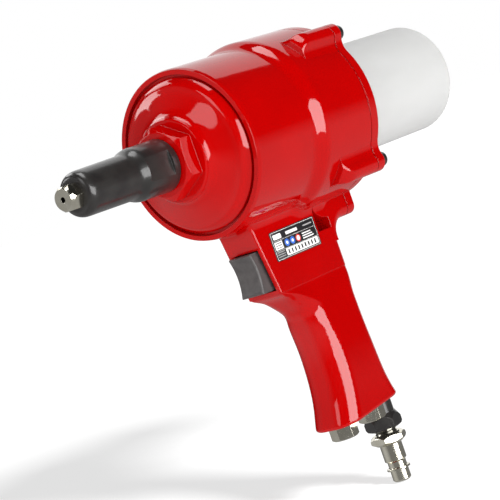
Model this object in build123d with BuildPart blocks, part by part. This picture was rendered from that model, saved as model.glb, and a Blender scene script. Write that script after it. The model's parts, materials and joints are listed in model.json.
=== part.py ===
"""Pistol-shaped compressed-air blind riveter, built as an assembly of separate pieces.

Frame, in millimetres: the origin is the centre of the nosepiece's front face, +X points forwards out of the
nose, +Y is the tool's left and +Z is up. The pulling axis is the X axis. The moving pieces are drawn with the
tool idle: piston unit forward, trigger released, collector bottle pushed home.
"""
from build123d import *
from math import radians, tan
import os

os.makedirs("parts", exist_ok=True)

# ---- driving dimensions: nose ----
MANDREL_HOLE_R = 1.55
NOSE_CONE_BACK = -3.0
NOSE_FACE_R = 5.8
NOSE_HEX = 13.0
NOSE_HEX_BACK = -8.5
NOSE_THREAD_R = 5.0
NOSE_TAIL_BACK = -25.5
HEAD_FRONT = -8.6
HEAD_R = 12.4
HEAD_COLLAR_R = 14.8
HEAD_BACK = -77.0
HEAD_FLAT_Y = 13.0
HEAD_SPIGOT_R = 13.0
HEAD_SPIGOT_BACK = -88.0
HEAD_BORE_R = 10.4

# ---- driving dimensions: barrel, front cover, rear cover ----
COVER_HEX = 36.0
COVER_HEX_BACK = -87.0
COVER_COLLAR_R = 23.5
COVER_EDGE_R = 43.0
COVER_EDGE_X = -99.6
COVER_BACK = -111.5
DOME = ((-88.6, COVER_COLLAR_R), (-91.6, 25.8), (-93.9, 30.6), (-96.4, 37.2), (COVER_EDGE_X - 1.2, COVER_EDGE_R))
FRONT_BORE_R = 44.8
REAR_BORE_R = 46.5
RIM_X = -100.5
BARREL_R = 48.0
STEP_START = -149.5
STEP_END = -161.5
STEP_R = 51.5
JOINT_X = -200.5
GASKET_T = 0.6
REAR_X = -208.0
BOSS_PITCH_R = 53.5
BOSS_R = 6.0
BOSS_FLARE = 10.0
BOSS_FRONT = -171.0
BOSS_RAMP = 10.0
BOSS_TOP_R = BOSS_PITCH_R + BOSS_R + 0.1
BOSS_END_ROUND = 3.0
SCREW_HEAD_R = 4.25
SCREW_HEAD_H = 5.0
SCREW_R = 2.5
SCREW_TIP = -184.0
SCREW_SOCKET = 4.0
COVER_FACE_X = JOINT_X - GASKET_T
GROOVE_W = 3.0
FRONT_SEAL_X = -102.0
COVER_SEAL_X = -107.5
TAIL_SEAL_X = -204.0
BOTTLE_SEAL_X = -215.0
SPRING_SEAT_X = -203.5
HUB_R = 12.5
HUB_BACK = -211.0

# ---- driving dimensions: handle ----
BLOCK_Y = 12.3
BLOCK_TOP_X = -113.0
BLOCK_FOOT_X = -121.3
BLOCK_FRONT_ROUND = 1.3
BLOCK_BACK_ROUND = 8.0
BLOCK_TOP_Z = -38.0
BLOCK_FLOOR_Z = -87.5
GRIP_BACK_X = -187.1
GRIP_FOOT_Z = -170.0
FOOT_FRONT = (-130.0, -171.4)
FOOT_BACK = (-200.0, -165.2)
# height, front, back, half width, front rounding, back rounding
GRIP_SECTIONS = (
    (-86.1, -121.5, -186.9, 12.15, 1.6, 8.2),
    (-87.7, -122.0, -186.9, 12.15, 2.0, 8.2),
    (-89.7, -125.2, -187.0, 12.2, 4.0, 8.2),
    (-93.5, -131.0, -186.7, 12.7, 7.5, 8.6),
    (-99.5, -137.1, -185.6, 13.3, 10.5, 9.2),
    (-108.0, -140.8, -184.7, 14.0, 11.0, 9.6),
    (-124.0, -142.2, -184.4, 15.0, 12.0, 10.0),
    (-141.0, -142.2, -185.0, 15.5, 12.0, 10.0),
    (-153.0, -140.3, -186.3, 15.5, 12.0, 10.0),
    (-163.0, -137.2, -188.8, 15.6, 12.0, 10.0),
    (-173.0, -134.4, -192.4, 15.8, 12.0, 10.0),
)
POCKET_Y = 8.75
POCKET_TOP_Z = -60.9
POCKET_FLOOR_Z = -85.3
POCKET_BACK_X = -140.0
POCKET_BEVEL = 1.2
TAIL_LOBE_Y = BLOCK_Y
TAIL_LOBE_Z = -62.0
TAIL_LOBE_ROUND = 5.0
TAIL_FRONT_X = -172.0
TAIL_SWEEP_X = -196.0
TAIL_SWEEP_Z = -73.0

# ---- driving dimensions: pulling unit ----
ROD_R = 9.0
ROD_SEAT_R = 8.0
ROD_TAIL_R = 7.0
ROD_HOLE_R = 4.0
FRONT_PISTON_X = -112.3
PISTON_T = 11.0
WALL_FRONT = -146.5
WALL_BACK = -155.0
BUSH_R = 12.0
REAR_PISTON_X = -158.5
NUT_X = REAR_PISTON_X - PISTON_T
ROD_BACK = -205.0
NUT_SIDE_SPRING_X = NUT_X
RUN = 0.05
JAW_HOUSING_R = 10.0
JAW_HOUSING_FRONT = -22.0
JAW_HOUSING_BACK = -72.0
JAW_ANGLE = 12.0
JAW_CONE_FRONT = -26.0
JAW_CONE_FRONT_R = 4.6
JAW_CONE_BACK = -42.0
JAW_HOLE_R = 2.0
JAW_GAP = 0.6
JAW_CUT = 24.0
JAW_SLACK = 0.35
JAW_FRONT = -27.0
JAW_BACK = -41.0
PUSHER_FRONT = -40.2
PUSHER_BACK = -52.0
PUSHER_HOLE_R = 2.4
ROD_THREAD_FRONT = -62.0
NUT_HEX = 24.0
NUT_T = 6.0
PISTON_GROOVE_W = 4.0
PISTON_GROOVE_D = 3.4

# ---- driving dimensions: valve, fittings, bottle ----
VALVE_Z = -73.0
VALVE_R = 6.5
VALVE_BACK = -172.0
AIR_WAY_R = 3.0
FOOT_THREAD_R = 4.9
FOOT_THREAD_TOP = -157.0
INLET_THREAD_TOP = -160.0
SPOOL_R = 3.5
SPOOL_FRONT = -128.4
SPOOL_BACK = -161.0
BUSH_END_X = -160.0
TRIGGER_Y = 8.0
TRIGGER_TOP_Z = -61.5
TRIGGER_FOOT_Z = -84.6
TRIGGER_FACE_X = -110.8
TRIGGER_BACK_X = -128.2
TRIGGER_HOLLOW = 2.5
INLET_X = -182.0
INLET_HEX = 19.0
SWIVEL_BORE_R = 4.0
INLET_NECK_R = 8.4
INLET_HEX_TOP = -175.4
INLET_HEX_FOOT = -185.2
INLET_HEX_TURN = 10.0
SWIVEL_TOP = -170.0
SWIVEL_FACE_Z = -185.4
SWIVEL_HEX_TOP = -186.9
SWIVEL_HEX_FOOT = -193.3
SWIVEL_HEX_TURN = 25.0
PLUG_SLEEVE_Z = -203.0
PLUG_RING_Z = -207.3
PLUG_RING_R = 6.9
PLUG_HOLE_R = 2.8
EXHAUST_SEAT_Z = -169.4
PASSAGE_SEAT_Z = -167.3
INLET_SEAT_Z = -165.9
EXHAUST_HEX_Z = -178.4
PASSAGE_HEX_Z = -175.3
BOTTOM_HEX_TURN = 12.0
PLATE_X = -147.4
PLATE_Z = -62.9
PLATE_L = 40.5
PLATE_H = 16.7
PLATE_T = 0.4
PLUG_R = 6.5
PLUG_NOSE_R = 5.4
PLUG_TIP_Z = -215.6
BOTTOM_HEX = 14.0
EXHAUST_X = -147.0
PASSAGE_X = -167.0
PASSAGE_Y = 6.2
BOTTLE_R = 32.5
BOTTLE_END_R = 32.2
BOTTLE_MOUTH_X = -209.0
BOTTLE_END_X = -314.3
BOTTLE_WALL = 2.0
SPIGOT_R = 30.0
SPIGOT_BACK = -221.0

# place of each fitting on the foot, the height of its seat and the radius of the seat
SEATS = ((EXHAUST_X, 0, EXHAUST_SEAT_Z, 8.3), (PASSAGE_X, PASSAGE_Y, PASSAGE_SEAT_Z, 8.3),
         (INLET_X, 0, INLET_SEAT_Z, INLET_NECK_R + 0.1))

INLET_AXIS = Axis((INLET_X, 0, 0), (0, 0, 1))
VALVE_AXIS = Axis((0, 0, VALVE_Z), (1, 0, 0))


def turned(*outline):
    """A closed (x, radius) outline in the XZ plane, ready to be revolved about the X axis."""
    with BuildSketch(Plane.XZ) as face:
        with BuildLine():
            Polyline(*outline, close=True)
        make_face()
    return face.sketch


def upright(x, y, *outline):
    """A closed (radius, z) outline standing at (x, y), ready to be revolved about its own Z axis."""
    with BuildSketch(Plane(origin=(x, y, 0), x_dir=(1, 0, 0), z_dir=(0, -1, 0))) as face:
        with BuildLine():
            Polyline(*outline, close=True)
        make_face()
    return face.sketch


def four_bosses(x, web_r):
    """Section at x of the round body with its four screw bosses, flanks flared into the body."""
    with BuildSketch(Plane.YZ.offset(x)) as section:
        Circle(web_r)
        with PolarLocations(BOSS_PITCH_R, 4, start_angle=45):
            Circle(BOSS_R)
        fillet(section.vertices(), radius=BOSS_FLARE)
    return section.sketch


def boss_holes(x, radius):
    """Four round holes on the screw circle, drawn at x."""
    with BuildSketch(Plane.YZ.offset(x)) as holes:
        with PolarLocations(BOSS_PITCH_R, 4, start_angle=45):
            Circle(radius)
    return holes.sketch


def grip_section(z, front, back, half_width, front_round, back_round):
    """Rounded grip section at height z, from its back to its front."""
    with BuildSketch(Plane.XY.offset(z)) as section:
        with BuildLine():
            FilletPolyline((back, 0), (back, half_width), (front - front_round, half_width), radius=back_round)
            RadiusArc((front - front_round, half_width), (front, half_width - front_round), front_round)
            Line((front, half_width - front_round), (front, 0))
            mirror(about=Plane.XZ)
        make_face()
    return section.sketch


def rear_section(x, round_r, boss_r, tail_y):
    """Section of the rear joint at x: round body, four flared bosses and the tail lobe."""
    with BuildSketch(Plane.YZ.offset(x)) as section:
        Circle(round_r)
        with PolarLocations(BOSS_PITCH_R, 4, start_angle=45):
            Circle(boss_r)
        fillet(section.vertices(), radius=BOSS_FLARE)
        with Locations((0, (TAIL_LOBE_Z + BLOCK_TOP_Z + tail_y - TAIL_LOBE_Y) / 2)):
            RectangleRounded(2 * tail_y, BLOCK_TOP_Z - TAIL_LOBE_Z + tail_y - TAIL_LOBE_Y, TAIL_LOBE_ROUND)
    return section.sketch


def turned_at(height, *outline):
    """A closed (x, radius) outline standing on a line parallel to X at the given height."""
    return turned(*[(x, height + r) for x, r in outline])


def seal_groove(x, wall_r, depth):
    """Outline of a square groove centred at x, cut outwards (depth > 0) or inwards from a wall."""
    half = GROOVE_W / 2
    return (x - half, wall_r), (x - half, wall_r + depth), (x + half, wall_r + depth), (x + half, wall_r)


def o_ring(x, inner_r, outer_r):
    """Ring of round section about the X axis, centred at x."""
    with BuildSketch(Plane.XZ) as face:
        with Locations((x, (inner_r + outer_r) / 2)):
            Circle((outer_r - inner_r) / 2)
    return face.sketch


def upright_edges(part, back, front):
    """Corner edges of the handle block that run from the barrel down to its floor, between two x places."""
    return part.edges().filter_by(lambda edge: edge.center().Z < -60 and abs(edge.center().Y) > BLOCK_Y - 1
                                  and edge.length > 35 and abs(edge.tangent_at(0.5).Z) > 0.9
                                  and back < edge.center().X < front)


def block_joint(part):
    """Edges where the handle block meets the underside of the barrel."""
    return [edge for edge in part.edges()
            if -54 < edge.center().Z < -41 and abs(edge.center().Y) < BLOCK_Y + 0.1
            and GRIP_BACK_X - 1 < edge.center().X < -108]


def boss_crests(part):
    """Edges across the top of each screw boss where its front end slopes down to the barrel."""
    return [edge for edge in part.edges()
            if BOSS_FRONT - BOSS_RAMP < edge.center().X < BOSS_FRONT - BOSS_RAMP / 2
            and abs(abs(edge.center().Y) - abs(edge.center().Z)) < 1 and edge.center().Y ** 2 > 38 ** 2]


# ---- tail lobe: a shape used inside the main body, swept down into the back of the grip ----
with BuildPart() as tail_lobe:
    with BuildSketch(Plane.XZ):
        with BuildLine():
            Polyline((TAIL_FRONT_X, TAIL_SWEEP_Z), (TAIL_FRONT_X, BLOCK_TOP_Z), (JOINT_X, BLOCK_TOP_Z), (JOINT_X, TAIL_LOBE_Z),
                     (TAIL_SWEEP_X, TAIL_LOBE_Z))
            TangentArc((TAIL_SWEEP_X, TAIL_LOBE_Z), (GRIP_BACK_X, TAIL_SWEEP_Z), tangent=(1, 0))
            Line((GRIP_BACK_X, TAIL_SWEEP_Z), (TAIL_FRONT_X, TAIL_SWEEP_Z))
        make_face()
    extrude(amount=TAIL_LOBE_Y, both=True)
    fillet(tail_lobe.edges().filter_by(lambda edge: abs(edge.center().Y) > TAIL_LOBE_Y - 0.1
                                       and edge.center().X < -184
                                       and -70 < edge.center().Z <= TAIL_LOBE_Z), radius=TAIL_LOBE_ROUND)


# ---- main body: barrel, dividing wall, grip and trigger pocket in one casting ----
with BuildPart() as main_body:
    with BuildSketch(Plane.XZ):
        with BuildLine():
            Polyline((RIM_X, 0), (RIM_X, BARREL_R - 0.5), (RIM_X - 2.5, BARREL_R), (STEP_START, BARREL_R))
            Spline((STEP_START, BARREL_R), (STEP_END, STEP_R), tangents=[(-1, 0), (-1, 0)])
            Polyline((STEP_END, STEP_R), (JOINT_X, STEP_R - 0.4), (JOINT_X, 0), (RIM_X, 0))
        make_face()
    revolve(axis=Axis.X)
    # handle block around the trigger
    with BuildSketch(Plane.XZ):
        with BuildLine():
            Polyline((BLOCK_TOP_X, BLOCK_TOP_Z), (BLOCK_FOOT_X, BLOCK_FLOOR_Z), (GRIP_BACK_X, BLOCK_FLOOR_Z),
                     (GRIP_BACK_X, BLOCK_TOP_Z), close=True)
        make_face()
    extrude(amount=BLOCK_Y, both=True)
    fillet(upright_edges(main_body, BLOCK_FOOT_X, BLOCK_TOP_X), radius=BLOCK_FRONT_ROUND)
    fillet(upright_edges(main_body, GRIP_BACK_X - 1, GRIP_BACK_X + 1), radius=BLOCK_BACK_ROUND)
    fillet(block_joint(main_body), radius=5.0)
    add(tail_lobe.part)
    # screw bosses: a flared section along the rear of the barrel, its front end domed
    extrude(four_bosses(JOINT_X, STEP_R - 0.6), amount=BOSS_FRONT - JOINT_X)
    with BuildSketch(Plane.XZ):
        with BuildLine():
            Spline((BOSS_FRONT + 2, STEP_R + 0.05), (BOSS_FRONT - BOSS_RAMP, BOSS_TOP_R),
                   tangents=[(-0.5, 1), (-1, 0.05)])
            Polyline((BOSS_FRONT - BOSS_RAMP, BOSS_TOP_R), (BOSS_FRONT - BOSS_RAMP, BOSS_TOP_R + 6),
                     (BOSS_FRONT + 2, BOSS_TOP_R + 6), (BOSS_FRONT + 2, STEP_R + 0.05))
        make_face()
    revolve(axis=Axis.X, mode=Mode.SUBTRACT)
    # grip below the trigger
    loft([grip_section(*section) for section in GRIP_SECTIONS])
    # the foot of the grip rises towards the back, with level seats for the fittings
    with BuildSketch(Plane.XZ):
        with BuildLine():
            Polyline(FOOT_FRONT, FOOT_BACK, (FOOT_BACK[0], GRIP_FOOT_Z - 10), (FOOT_FRONT[0], GRIP_FOOT_Z - 10),
                     close=True)
        make_face()
    extrude(amount=2 * BLOCK_Y, both=True, mode=Mode.SUBTRACT)
    fillet(main_body.faces().filter_by(lambda face: face.normal_at().Z < -0.98).sort_by(Axis.Z)[0].edges(),
           radius=1.5)
    for x, y, seat_z, seat_r in SEATS:
        with Locations((x, y, seat_z)):
            Cylinder(seat_r, 10, align=(Align.CENTER, Align.CENTER, Align.MAX), mode=Mode.SUBTRACT)
    # bores for the two pistons, with the dividing wall left between them
    revolve(turned((RIM_X, 0), (RIM_X, FRONT_BORE_R), (WALL_FRONT, FRONT_BORE_R), (WALL_FRONT, 0)),
            axis=Axis.X, mode=Mode.SUBTRACT)
    revolve(turned((WALL_BACK, 0), (WALL_BACK, REAR_BORE_R), (JOINT_X, REAR_BORE_R), (JOINT_X, 0)),
            axis=Axis.X, mode=Mode.SUBTRACT)
    revolve(turned((WALL_FRONT, 0), (WALL_FRONT, BUSH_R), (WALL_BACK, BUSH_R), (WALL_BACK, 0)),
            axis=Axis.X, mode=Mode.SUBTRACT)
    # trigger pocket, open at the front, with its upright edges cut back
    with BuildSketch(Plane.XZ):
        with BuildLine():
            Polyline((-105, POCKET_TOP_Z), (-105, POCKET_FLOOR_Z), (POCKET_BACK_X, POCKET_FLOOR_Z),
                     (POCKET_BACK_X, POCKET_TOP_Z), close=True)
        make_face()
    extrude(amount=POCKET_Y, both=True, mode=Mode.SUBTRACT)
    chamfer(main_body.edges().filter_by(lambda edge: abs(abs(edge.center().Y) - POCKET_Y) < 0.1
                                        and abs(edge.tangent_at(0.5).Z) > 0.9
                                        and edge.center().X > -120), length=POCKET_BEVEL)
    # valve bore behind the pocket, and the drilled air ways from the foot of the grip
    revolve(turned_at(VALVE_Z, (POCKET_BACK_X + 1, 0), (POCKET_BACK_X + 1, VALVE_R), (VALVE_BACK, VALVE_R),
                      (VALVE_BACK, 0)), axis=VALVE_AXIS, mode=Mode.SUBTRACT)
    for x, y, depth in ((INLET_X, 0, INLET_THREAD_TOP), (EXHAUST_X, 0, FOOT_THREAD_TOP),
                        (PASSAGE_X, PASSAGE_Y, FOOT_THREAD_TOP)):
        with Locations((x, y, (GRIP_FOOT_Z - 1 + depth) / 2)):
            Cylinder(FOOT_THREAD_R, depth - GRIP_FOOT_Z + 1, mode=Mode.SUBTRACT)
    for foot, top in (((INLET_X, 0, INLET_THREAD_TOP - 1), (-164, 0, VALVE_Z)),
                      ((EXHAUST_X, 0, FOOT_THREAD_TOP - 1), (-152, 0, VALVE_Z)),
                      ((PASSAGE_X, PASSAGE_Y, FOOT_THREAD_TOP - 1), (-158, 0, VALVE_Z))):
        way = Vector(*top) - Vector(*foot)
        with BuildSketch(Plane(origin=foot, z_dir=way)):
            Circle(AIR_WAY_R)
        extrude(amount=way.length, mode=Mode.SUBTRACT)
    # tapped screw holes in the bosses
    extrude(boss_holes(JOINT_X, SCREW_R), amount=SCREW_TIP - JOINT_X, mode=Mode.SUBTRACT)
    fillet(boss_crests(main_body), radius=BOSS_END_ROUND)
main_body.part.label = "main_body"
export_step(main_body.part, "parts/main_body.step")

# ---- nose ----
with BuildPart() as nosepiece:
    with BuildSketch(Plane.YZ.offset(NOSE_HEX_BACK)):
        RegularPolygon(NOSE_HEX / 2, 6, major_radius=False)
    extrude(amount=-NOSE_HEX_BACK)
    revolve(turned((1, NOSE_FACE_R + 0.2), (0, NOSE_FACE_R), (NOSE_CONE_BACK, NOSE_HEX / 2 + 1.2),
                   (NOSE_CONE_BACK, 20), (1, 20)), axis=Axis.X, mode=Mode.SUBTRACT)
    revolve(turned((NOSE_HEX_BACK, 0), (NOSE_HEX_BACK, NOSE_THREAD_R), (-18, NOSE_THREAD_R), (-18, 3.9),
                   (NOSE_TAIL_BACK + 1.5, 3.9), (NOSE_TAIL_BACK, 2.9), (NOSE_TAIL_BACK, 0)), axis=Axis.X)
    with Locations((NOSE_TAIL_BACK / 2, 0, 0)):
        Cylinder(MANDREL_HOLE_R, -NOSE_TAIL_BACK + 1, rotation=(0, 90, 0), mode=Mode.SUBTRACT)
nosepiece.part.label = "nosepiece"
export_step(nosepiece.part, "parts/nosepiece.step")

with BuildPart() as frame_head:
    with BuildSketch(Plane.XZ):
        with BuildLine():
            Polyline((HEAD_FRONT, NOSE_THREAD_R), (HEAD_FRONT, 8.0))
            Spline((HEAD_FRONT, 8.0), (-14.5, HEAD_R - 0.1), tangents=[(0.0, 1), (-1, 0.02)])
            Polyline((-14.5, HEAD_R - 0.1), (-46, HEAD_R + 0.1))
            Spline((-46, HEAD_R + 0.1), (-55, HEAD_COLLAR_R - 0.2), tangents=[(-1, 0), (-1, 0.05)])
            Polyline((-55, HEAD_COLLAR_R - 0.2), (HEAD_BACK + 0.8, HEAD_COLLAR_R), (HEAD_BACK, HEAD_COLLAR_R - 0.8),
                     (HEAD_BACK, HEAD_SPIGOT_R), (HEAD_SPIGOT_BACK, HEAD_SPIGOT_R), (HEAD_SPIGOT_BACK, HEAD_BORE_R),
                     (-18.5, HEAD_BORE_R), (-18.5, NOSE_THREAD_R), (HEAD_FRONT, NOSE_THREAD_R))
        make_face()
    revolve(axis=Axis.X)
    # two wrench flats across the collar
    for side in (1, -1):
        with Locations((-62.5, side * (HEAD_FLAT_Y + 5), 0)):
            Box(19, 10, 40, mode=Mode.SUBTRACT)
frame_head.part.label = "frame_head"
export_step(frame_head.part, "parts/frame_head.step")

# ---- front cover: hexagon, collar and shallow dome closing the front bore ----
with BuildPart() as front_cover:
    with BuildSketch(Plane.XZ):
        with BuildLine():
            Polyline((COVER_HEX_BACK, 0), (COVER_HEX_BACK, COVER_COLLAR_R - 0.8),
                     (COVER_HEX_BACK - 0.8, COVER_COLLAR_R), DOME[0])
            Spline(*DOME, tangents=[(-1, 0.2), (-1, 0.7)])
            Polyline((COVER_EDGE_X - 1.2, COVER_EDGE_R), (COVER_EDGE_X - 4, COVER_EDGE_R),
                     (COVER_EDGE_X - 4, FRONT_BORE_R), (COVER_BACK, FRONT_BORE_R), (COVER_BACK, 0),
                     (COVER_HEX_BACK, 0))
        make_face()
    revolve(axis=Axis.X)
    with BuildSketch(Plane.YZ.offset(COVER_HEX_BACK)):
        RegularPolygon(COVER_HEX / 2, 6, major_radius=False, rotation=30)
    extrude(amount=HEAD_BACK - COVER_HEX_BACK)
    revolve(turned((HEAD_BACK + 0.1, COVER_HEX / 2 - 0.6), (HEAD_BACK - 2.2, COVER_HEX / 2 + 3.2),
                   (HEAD_BACK + 0.1, COVER_HEX / 2 + 3.2)), axis=Axis.X, mode=Mode.SUBTRACT)
    revolve(turned((HEAD_BACK + 1, 0), (HEAD_BACK + 1, HEAD_SPIGOT_R), (HEAD_SPIGOT_BACK, HEAD_SPIGOT_R),
                   (HEAD_SPIGOT_BACK, HEAD_BORE_R), (-92.5, HEAD_BORE_R), (-92.5, ROD_R + RUN),
                   (COVER_BACK - 1, ROD_R + RUN), (COVER_BACK - 1, 0)), axis=Axis.X, mode=Mode.SUBTRACT)
    revolve(turned(*seal_groove(FRONT_SEAL_X, ROD_R, 2.6)), axis=Axis.X, mode=Mode.SUBTRACT)
    revolve(turned(*seal_groove(COVER_SEAL_X, FRONT_BORE_R + 0.01, -1.8)), axis=Axis.X, mode=Mode.SUBTRACT)
front_cover.part.label = "front_cover"
export_step(front_cover.part, "parts/front_cover.step")

# ---- rear cover, gasket and screws ----
with BuildPart() as rear_gasket:
    extrude(rear_section(JOINT_X, STEP_R - 1.0, BOSS_R - 0.7, TAIL_LOBE_Y - 0.7), amount=-GASKET_T)
    with Locations((JOINT_X - GASKET_T / 2, 0, 0)):
        Cylinder(REAR_BORE_R, 2 * GASKET_T, rotation=(0, 90, 0), mode=Mode.SUBTRACT)
    extrude(boss_holes(JOINT_X, SCREW_R), amount=-GASKET_T, mode=Mode.SUBTRACT)
rear_gasket.part.label = "rear_gasket"
export_step(rear_gasket.part, "parts/rear_gasket.step")

with BuildPart() as rear_cover:
    extrude(rear_section(COVER_FACE_X, STEP_R - 0.4, BOSS_R, TAIL_LOBE_Y), amount=REAR_X - COVER_FACE_X)
    fillet(rear_cover.edges().filter_by(lambda edge: abs(edge.center().X - REAR_X) < 0.05), radius=1.0)
    # spigot into the barrel with the spring seat, and the ring that carries the bottle
    revolve(turned((JOINT_X + 4, REAR_BORE_R - 4), (JOINT_X + 4, REAR_BORE_R), (COVER_FACE_X, REAR_BORE_R),
                   (COVER_FACE_X, REAR_BORE_R - 4)), axis=Axis.X)
    revolve(turned((REAR_X, SPIGOT_R - 3.5), (REAR_X, SPIGOT_R), (SPIGOT_BACK + 1, SPIGOT_R),
                   (SPIGOT_BACK, SPIGOT_R - 1), (SPIGOT_BACK, SPIGOT_R - 3.5)), axis=Axis.X)
    revolve(turned((COVER_FACE_X, 0), (COVER_FACE_X, HUB_R), (HUB_BACK, HUB_R), (HUB_BACK, 0)), axis=Axis.X)
    revolve(turned((COVER_FACE_X + 5, 0), (COVER_FACE_X + 5, REAR_BORE_R - 8), (SPRING_SEAT_X, REAR_BORE_R - 8),
                   (SPRING_SEAT_X, 0)), axis=Axis.X, mode=Mode.SUBTRACT)
    revolve(turned((SPRING_SEAT_X + 9, 0), (SPRING_SEAT_X + 9, ROD_TAIL_R + RUN), (HUB_BACK - 1, ROD_TAIL_R + RUN),
                   (HUB_BACK - 1, 0)), axis=Axis.X, mode=Mode.SUBTRACT)
    revolve(turned(*seal_groove(TAIL_SEAL_X, ROD_TAIL_R, 2.2)), axis=Axis.X, mode=Mode.SUBTRACT)
    revolve(turned(*seal_groove(BOTTLE_SEAL_X, SPIGOT_R + 0.01, -1.9)), axis=Axis.X, mode=Mode.SUBTRACT)
    extrude(boss_holes(COVER_FACE_X, SCREW_R), amount=REAR_X - COVER_FACE_X, mode=Mode.SUBTRACT)
rear_cover.part.label = "rear_cover"
export_step(rear_cover.part, "parts/rear_cover.step")

with BuildPart() as cover_screws:
    with PolarLocations(BOSS_PITCH_R, 4, start_angle=45) as ring:
        centres = [(REAR_X, spot.position.X, spot.position.Y) for spot in ring.locations]
    for x, y, z in centres:
        with Locations(Plane(origin=(x, y, z), z_dir=(-1, 0, 0))):
            Cylinder(SCREW_HEAD_R, SCREW_HEAD_H, align=(Align.CENTER, Align.CENTER, Align.MIN))
            Cylinder(SCREW_R, SCREW_TIP - REAR_X, align=(Align.CENTER, Align.CENTER, Align.MAX))
        with BuildSketch(Plane(origin=(REAR_X - SCREW_HEAD_H, y, z), z_dir=(-1, 0, 0))):
            RegularPolygon(SCREW_SOCKET / 2, 6, major_radius=False)
        extrude(amount=-2.6, mode=Mode.SUBTRACT)
    chamfer(cover_screws.edges().filter_by(GeomType.CIRCLE).filter_by(
        lambda edge: abs(edge.center().X - REAR_X + SCREW_HEAD_H) < 0.05), length=0.4)
cover_screws.part.label = "cover_screws"
export_step(cover_screws.part, "parts/cover_screws.step")

# ---- pulling unit: jaw housing, rod, pistons, spacer and nut ----
jaw_slope = tan(radians(JAW_ANGLE))
jaw_cone_back_r = JAW_CONE_FRONT_R + (JAW_CONE_FRONT - JAW_CONE_BACK) * jaw_slope

with BuildPart() as jaw_housing:
    revolve(turned((JAW_HOUSING_FRONT, 4.3), (JAW_HOUSING_FRONT, JAW_HOUSING_R - 1),
                   (JAW_HOUSING_FRONT - 1, JAW_HOUSING_R), (JAW_HOUSING_BACK, JAW_HOUSING_R),
                   (JAW_HOUSING_BACK, jaw_cone_back_r), (JAW_CONE_BACK, jaw_cone_back_r),
                   (JAW_CONE_FRONT, JAW_CONE_FRONT_R)), axis=Axis.X)
jaw_housing.part.label = "jaw_housing"
export_step(jaw_housing.part, "parts/jaw_housing.step")

with BuildPart() as piston_rod:
    revolve(turned((ROD_THREAD_FRONT, ROD_HOLE_R), (ROD_THREAD_FRONT, jaw_cone_back_r),
                   (JAW_HOUSING_BACK, jaw_cone_back_r), (JAW_HOUSING_BACK, ROD_R), (FRONT_PISTON_X, ROD_R),
                   (FRONT_PISTON_X, ROD_SEAT_R), (NUT_X - NUT_T, ROD_SEAT_R), (NUT_X - NUT_T, ROD_TAIL_R),
                   (ROD_BACK, ROD_TAIL_R), (ROD_BACK, ROD_HOLE_R)), axis=Axis.X)
    chamfer(piston_rod.edges().filter_by(lambda edge: abs(edge.center().X - ROD_BACK) < 0.01).sort_by(
        SortBy.LENGTH)[-1], length=0.6)
piston_rod.part.label = "piston_rod"
export_step(piston_rod.part, "parts/piston_rod.step")


def piston_outline(front, outer_r):
    """Half section of a piston: full rim, a thinner web and a groove for its seal."""
    rim = outer_r - RUN
    middle = front - PISTON_T / 2
    half = PISTON_GROOVE_W / 2
    return ((front, ROD_SEAT_R), (front, ROD_SEAT_R + 7), (front - 2, ROD_SEAT_R + 9), (front - 2, rim - 7),
            (front, rim - 6), (front, rim), (middle + half, rim), (middle + half, rim - PISTON_GROOVE_D),
            (middle - half, rim - PISTON_GROOVE_D), (middle - half, rim), (front - PISTON_T, rim),
            (front - PISTON_T, ROD_SEAT_R))


with BuildPart() as front_piston:
    revolve(turned(*piston_outline(FRONT_PISTON_X, FRONT_BORE_R)), axis=Axis.X)
front_piston.part.label = "front_piston"
export_step(front_piston.part, "parts/front_piston.step")

with BuildPart() as rear_piston:
    revolve(turned(*piston_outline(REAR_PISTON_X, REAR_BORE_R)), axis=Axis.X)
rear_piston.part.label = "rear_piston"
export_step(rear_piston.part, "parts/rear_piston.step")

with BuildPart() as spacer_tube:
    revolve(turned((FRONT_PISTON_X - PISTON_T, ROD_SEAT_R), (FRONT_PISTON_X - PISTON_T, ROD_R),
                   (REAR_PISTON_X, ROD_R), (REAR_PISTON_X, ROD_SEAT_R)), axis=Axis.X)
spacer_tube.part.label = "spacer_tube"
export_step(spacer_tube.part, "parts/spacer_tube.step")

with BuildPart() as piston_nut:
    with BuildSketch(Plane.YZ.offset(NUT_X)):
        RegularPolygon(NUT_HEX / 2, 6, major_radius=False)
        Circle(ROD_SEAT_R, mode=Mode.SUBTRACT)
    extrude(amount=-NUT_T)
piston_nut.part.label = "piston_nut"
export_step(piston_nut.part, "parts/piston_nut.step")

# ---- jaws, their pusher and spring ----
jaw_names = ("jaw_a", "jaw_b", "jaw_c")
for index, jaw_name in enumerate(jaw_names):
    turn = 120 * index
    with BuildPart() as jaw:
        revolve(turned(
            (JAW_FRONT, JAW_HOLE_R),
            (JAW_FRONT, JAW_CONE_FRONT_R + (JAW_CONE_FRONT - JAW_FRONT) * jaw_slope - JAW_SLACK),
            (JAW_BACK, JAW_CONE_FRONT_R + (JAW_CONE_FRONT - JAW_BACK) * jaw_slope - JAW_SLACK),
            (JAW_BACK, JAW_HOLE_R + 2.6), (JAW_BACK + 2.6, JAW_HOLE_R)), axis=Axis.X)
        for side in (1, -1):
            with BuildSketch(Plane(origin=(JAW_BACK - 1, 0, 0), x_dir=(0, 1, 0), z_dir=(1, 0, 0))):
                with Locations(Location((0, 0), turn + side * 60)):
                    with Locations((0, side * (JAW_CUT / 2 - JAW_GAP))):
                        Rectangle(2 * JAW_CUT, JAW_CUT)
            extrude(amount=JAW_FRONT - JAW_BACK + 2, mode=Mode.SUBTRACT)
    jaw.part.label = jaw_name
    export_step(jaw.part, "parts/" + jaw_name + ".step")

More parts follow.
